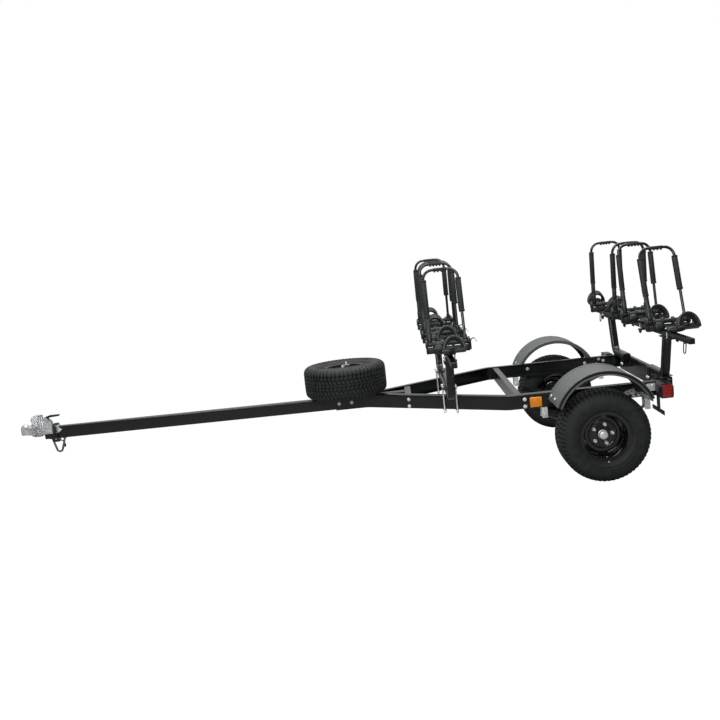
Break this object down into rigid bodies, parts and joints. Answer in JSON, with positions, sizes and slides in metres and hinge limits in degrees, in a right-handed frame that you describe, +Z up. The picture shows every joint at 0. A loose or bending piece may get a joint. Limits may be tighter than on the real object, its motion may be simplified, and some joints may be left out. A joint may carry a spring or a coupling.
{
  "type": "kayak trailer",
  "caption": "Light boat trailer: long tongue with coupler, sprung axle, fenders, spare wheel, raised crossbars with folding upright cradles for four kayaks.",
  "frame": {"origin": "middle of the bounding box's underside, on the ground", "axes": "+X from the coupler to the rear, +Y to the right of a driver facing forward, +Z up"},
  "size_m": [4.0566, 1.981, 1.3444],
  "materials": {
    "black_paint": "semi-gloss black paint",
    "zinc": "zinc plated",
    "tyre": "matt",
    "black_plastic": "textured",
    "amber_lens": "gloss",
    "red_lamp": "gloss",
    "cable": "satin"
  },
  "bodies": {
    "frame": {"coupler_body": "zinc", "cradle_base_front_left": "black_plastic", "cradle_base_front_middle": "black_plastic", "cradle_base_front_right": "black_plastic", "cradle_base_rear_left": "black_plastic", "cradle_base_rear_middle": "black_plastic", "cradle_base_rear_right": "black_plastic", "crossbar_front": "black_paint", "crossbar_rear": "black_paint", "fender_brace_left": "zinc", "fender_brace_right": "zinc", "fender_left": "black_plastic", "fender_right": "black_plastic", "front_crossmember": "black_paint", "leaf_spring_left": "black_paint", "leaf_spring_right": "black_paint", "rear_crossmember": "black_paint", "riser_front": "black_paint", "riser_rear_left": "black_paint", "riser_rear_right": "black_paint", "safety_chain": "zinc", "side_marker_left": "amber_lens", "side_marker_right": "amber_lens", "side_rail_left": "black_paint", "side_rail_right": "black_paint", "spare_carrier": "zinc", "spare_rim": "black_paint", "spare_tyre": "tyre", "spring_hanger_front_left": "zinc", "spring_hanger_front_right": "zinc", "spring_hanger_rear_left": "zinc", "spring_hanger_rear_right": "zinc", "tail_light_left": "red_lamp", "tail_light_right": "red_lamp", "tongue_crosspiece": "black_paint", "tongue_stand": "zinc", "tongue_tube": "black_paint", "wiring_lead": "cable", "wiring_plug": "cable"},
    "axle": {"axle_beam": "black_paint"},
    "wheel_left": {"hub_left": "black_paint", "rim_left": "black_paint", "tyre_left": "tyre"},
    "wheel_right": {"hub_right": "black_paint", "rim_right": "black_paint", "tyre_right": "tyre"},
    "coupler_lever": {"coupler_lever": "black_paint"},
    "coupler_jaw": {"coupler_jaw": "zinc"},
    "cradle_front_left": {"cradle_frame_front_left": "black_paint"},
    "cradle_front_middle_left": {"cradle_frame_front_middle_left": "black_paint"},
    "cradle_front_middle_right": {"cradle_frame_front_middle_right": "black_paint"},
    "cradle_front_right": {"cradle_frame_front_right": "black_paint"},
    "tie_ring_front_left": {"tie_ring_front_left": "zinc"},
    "tie_ring_front_right": {"tie_ring_front_right": "zinc"},
    "cradle_rear_left": {"cradle_frame_rear_left": "black_paint"},
    "cradle_rear_middle_left": {"cradle_frame_rear_middle_left": "black_paint"},
    "cradle_rear_middle_right": {"cradle_frame_rear_middle_right": "black_paint"},
    "cradle_rear_right": {"cradle_frame_rear_right": "black_paint"},
    "tie_ring_rear_left": {"tie_ring_rear_left": "zinc"},
    "tie_ring_rear_right": {"tie_ring_rear_right": "zinc"}
  },
  "joints": [
    {"name": "axle_heave", "type": "slide", "parent": "frame", "child": "axle", "axis": [-0.0987, 0, 0.9951], "range_m": [-0.03, 0.045], "stiffness_N_per_m": 60000, "springref_m": -0.01715, "deforming": ["leaf_spring_left", "leaf_spring_right"]},
    {"name": "wheel_left_spin", "type": "hinge", "parent": "axle", "child": "wheel_left", "pos_m": [1.53227, -0.6775, 0.2605], "axis": [0, 1, 0], "continuous": true},
    {"name": "wheel_right_spin", "type": "hinge", "parent": "axle", "child": "wheel_right", "pos_m": [1.53227, 0.6775, 0.2605], "axis": [0, 1, 0], "continuous": true},
    {"name": "coupler_lever_lift", "type": "hinge", "parent": "frame", "child": "coupler_lever", "pos_m": [-1.8704, 0, 0.22049], "axis": [0, -1, 0], "range_deg": [0, 95]},
    {"name": "coupler_jaw_drop", "type": "hinge", "parent": "frame", "child": "coupler_jaw", "pos_m": [-1.95434, 0, 0.14483], "axis": [0, -1, 0], "range_deg": [0, 24]},
    {"name": "cradle_front_left_fold", "type": "hinge", "parent": "frame", "child": "cradle_front_left", "pos_m": [0.65357, -0.617, 0.7763], "axis": [0.9951, 0, 0.0987], "range_deg": [0, 100]},
    {"name": "cradle_front_middle_left_fold", "type": "hinge", "parent": "frame", "child": "cradle_front_middle_left", "pos_m": [0.65357, -0.121, 0.7763], "axis": [0.9951, 0, 0.0987], "range_deg": [0, 95]},
    {"name": "cradle_front_middle_right_fold", "type": "hinge", "parent": "frame", "child": "cradle_front_middle_right", "pos_m": [0.65357, 0.103, 0.7763], "axis": [-0.9951, 0, -0.0987], "range_deg": [0, 88]},
    {"name": "cradle_front_right_fold", "type": "hinge", "parent": "frame", "child": "cradle_front_right", "pos_m": [0.65357, 0.655, 0.7763], "axis": [-0.9951, 0, -0.0987], "range_deg": [0, 88]},
    {"name": "tie_ring_front_left_swing", "type": "hinge", "parent": "frame", "child": "tie_ring_front_left", "pos_m": [0.66286, -0.88, 0.68266], "axis": [0, 1, 0], "range_deg": [-75, 75]},
    {"name": "tie_ring_front_right_swing", "type": "hinge", "parent": "frame", "child": "tie_ring_front_right", "pos_m": [0.66286, 0.88, 0.68266], "axis": [0, 1, 0], "range_deg": [-75, 75]},
    {"name": "cradle_rear_left_fold", "type": "hinge", "parent": "frame", "child": "cradle_rear_left", "pos_m": [1.89737, -0.617, 0.89965], "axis": [0.9951, 0, 0.0987], "range_deg": [0, 100]},
    {"name": "cradle_rear_middle_left_fold", "type": "hinge", "parent": "frame", "child": "cradle_rear_middle_left", "pos_m": [1.89737, -0.121, 0.89965], "axis": [0.9951, 0, 0.0987], "range_deg": [0, 95]},
    {"name": "cradle_rear_middle_right_fold", "type": "hinge", "parent": "frame", "child": "cradle_rear_middle_right", "pos_m": [1.89737, 0.103, 0.89965], "axis": [-0.9951, 0, -0.0987], "range_deg": [0, 88]},
    {"name": "cradle_rear_right_fold", "type": "hinge", "parent": "frame", "child": "cradle_rear_right", "pos_m": [1.89737, 0.655, 0.89965], "axis": [-0.9951, 0, -0.0987], "range_deg": [0, 88]},
    {"name": "tie_ring_rear_left_swing", "type": "hinge", "parent": "frame", "child": "tie_ring_rear_left", "pos_m": [1.90666, -0.88, 0.80601], "axis": [0, 1, 0], "range_deg": [-75, 75]},
    {"name": "tie_ring_rear_right_swing", "type": "hinge", "parent": "frame", "child": "tie_ring_rear_right", "pos_m": [1.90666, 0.88, 0.80601], "axis": [0, 1, 0], "range_deg": [-75, 75]}
  ],
  "couplings": [
    {"joint": "coupler_jaw_drop", "follows": "coupler_lever_lift", "ratio": 0.25}
  ]
}
